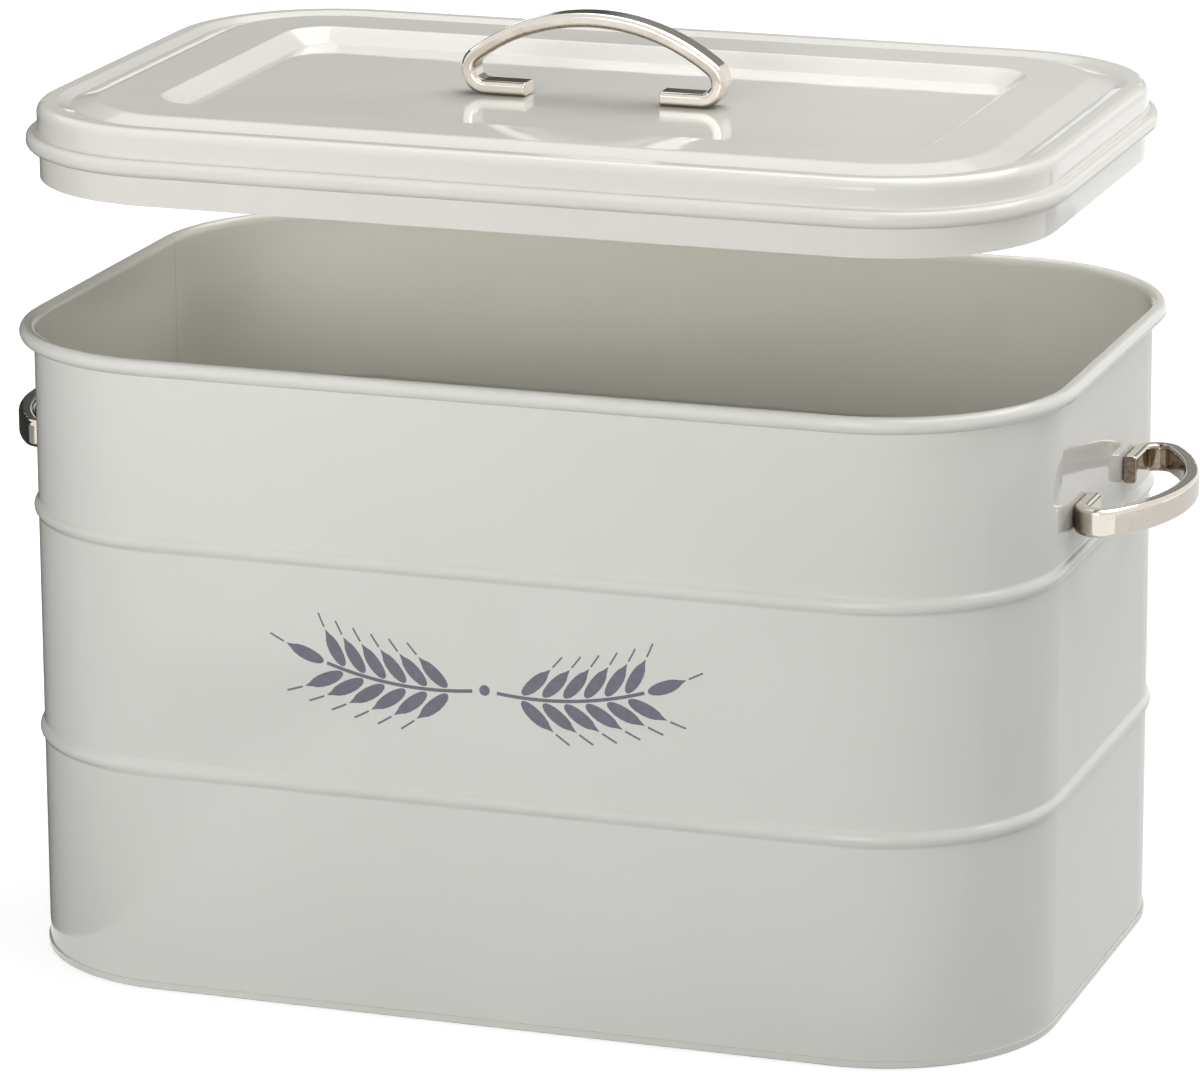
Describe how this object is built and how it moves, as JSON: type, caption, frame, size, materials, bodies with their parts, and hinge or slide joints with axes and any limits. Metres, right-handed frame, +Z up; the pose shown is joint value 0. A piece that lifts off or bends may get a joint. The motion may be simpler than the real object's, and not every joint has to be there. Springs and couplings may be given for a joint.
{
  "type": "bread bin",
  "caption": "Oblong round-cornered bread bin of painted sheet steel with ribbed walls, a rolled rim, a lift-off plug lid with a sunk panel, and bow handles of flat bar on the ends and lid.",
  "frame": {"origin": "on the table, under the middle of the bin", "axes": "+X along the long side to the right as seen from the front, the front faces -Y, +Z up"},
  "size_m": [0.3858, 0.2208, 0.2973],
  "materials": {
    "bin_paint": "gloss enamel, pale warm grey",
    "lid_paint": "gloss enamel, pale warm grey",
    "handle_plate": "bright nickel plate",
    "screw_steel": "zinc-plated steel"
  },
  "bodies": {
    "bin": {"bin_wall": "bin_paint", "bin_base": "bin_paint", "left_handle": "handle_plate", "left_handle_screws": "screw_steel", "left_handle_washers": "screw_steel", "right_handle": "handle_plate", "right_handle_screws": "screw_steel", "right_handle_washers": "screw_steel"},
    "lid": {"lid_shell": "lid_paint", "lid_handle": "handle_plate", "lid_handle_screws": "screw_steel", "lid_handle_washers": "screw_steel"}
  },
  "joints": [
    {"name": "lid_lift", "type": "slide", "parent": "bin", "child": "lid", "axis": [0, 0, 1], "range_m": [-0.0567, 0.15]}
  ]
}
